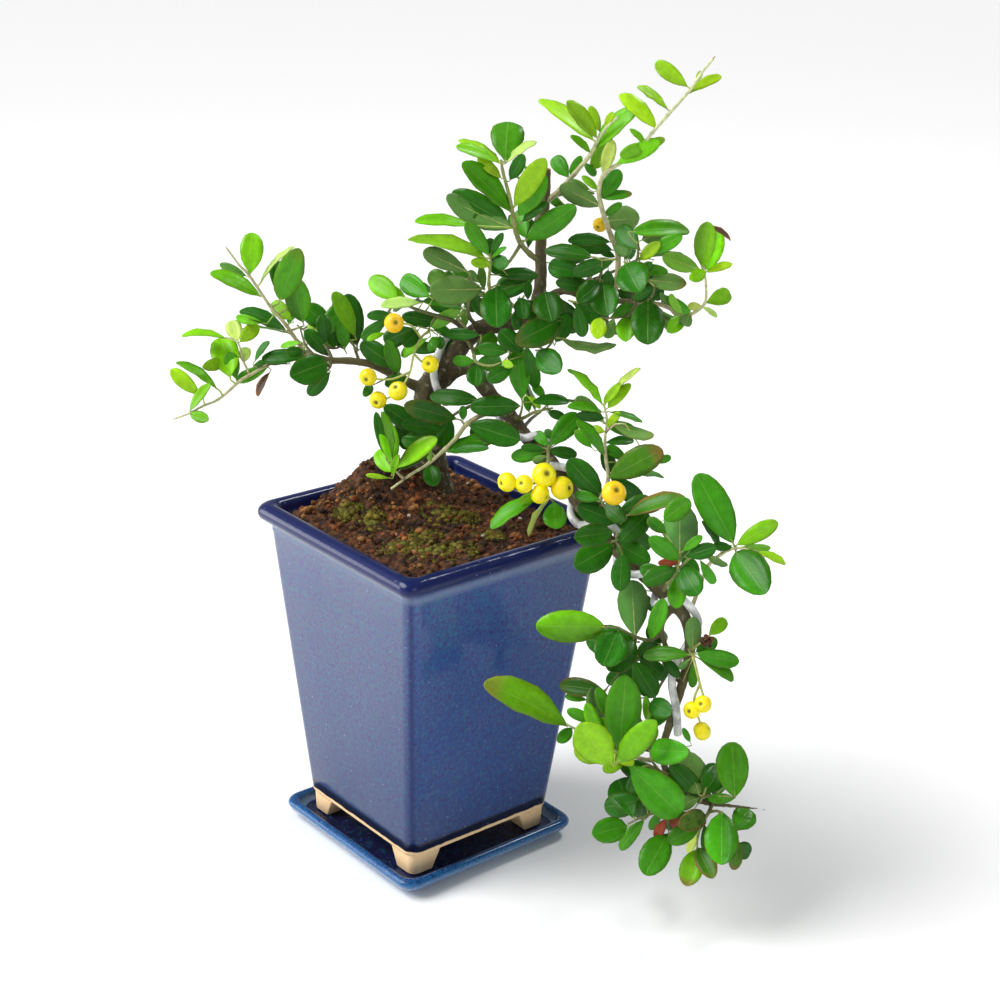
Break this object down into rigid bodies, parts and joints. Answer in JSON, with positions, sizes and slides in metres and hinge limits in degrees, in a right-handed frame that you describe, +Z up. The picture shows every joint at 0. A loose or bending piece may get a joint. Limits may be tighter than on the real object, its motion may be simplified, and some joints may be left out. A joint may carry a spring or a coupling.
{
  "type": "firethorn bonsai in a cascade pot",
  "caption": "Cascade-style firethorn bonsai with glossy leaves, yellow berries and a wired trunk, in a tall square tapered glazed pot on feet that stands in a matching square saucer.",
  "frame": {"origin": "centre of the saucer's underside", "axes": "+Z up, +X and +Y square to the pot's walls; the plant falls over the +X wall"},
  "size_m": [0.2084, 0.1719, 0.3156],
  "materials": {
    "glaze": "blue stoneware glaze, gloss, mottled; bare buff clay at the feet",
    "screen": "black plastic mesh",
    "soil": "crumbly damp red-brown soil with moss",
    "bark": "rough grey-brown bark",
    "wire": "bright matt drawn wire",
    "berry": "ripe yellow berry skin, satin",
    "leaf_young": "young yellow-green leaf, satin",
    "leaf_bright": "bright green leaf, satin",
    "leaf_middle": "mid green leaf, waxy satin",
    "leaf_dark": "dark green leaf, waxy gloss",
    "leaf_grey": "grey-green leaf, matt underside"
  },
  "bodies": {
    "root": {"saucer": "glaze", "pot": "glaze", "drain_screen": "screen", "soil": "soil", "wood": "bark", "training_wire": "wire", "berriesLeft": "berry", "berriesMid": "berry", "berryCascade": "berry", "berryCrown": "berry", "berriesWrist": "berry", "armTop": "leaf_bright", "armTip": "leaf_bright", "armNode": "leaf_dark", "armBack": "leaf_dark", "innerLeft": "leaf_dark", "armRoot": "leaf_dark", "lowFront": "leaf_bright", "trunkFoot": "leaf_dark", "midRosette": "leaf_middle", "midTwig": "leaf_middle", "crownHeart": "leaf_dark", "crownLeftLow": "leaf_grey", "crownLeftMid": "leaf_middle", "crownLeftTop": "leaf_middle", "crownTop": "leaf_young", "whip": "leaf_young", "crownRightTop": "leaf_dark", "crownRightIn": "leaf_dark", "crownRightTip": "leaf_bright", "crownRightLow": "leaf_dark", "bendRosette": "leaf_middle", "upright": "leaf_bright", "cascadeTop": "leaf_dark", "cascadeShoulder": "leaf_dark", "hangLeft": "leaf_dark", "archRosette": "leaf_middle", "rightRosette": "leaf_bright", "wristRosette": "leaf_middle", "lowLeft": "leaf_young", "lowMid": "leaf_middle", "endLeft": "leaf_dark", "endUp": "leaf_middle", "endDown": "leaf_middle", "farArm": "leaf_dark", "farArmRoot": "leaf_dark", "farLeft": "leaf_dark", "farHeart": "leaf_dark", "farCrown": "leaf_dark", "farRight": "leaf_dark", "farRightLow": "leaf_dark", "farBend": "leaf_dark", "farShoulder": "leaf_dark", "farArch": "leaf_dark", "farHang": "leaf_dark", "farLow": "leaf_dark", "farEnd": "leaf_dark"}
  },
  "joints": []
}
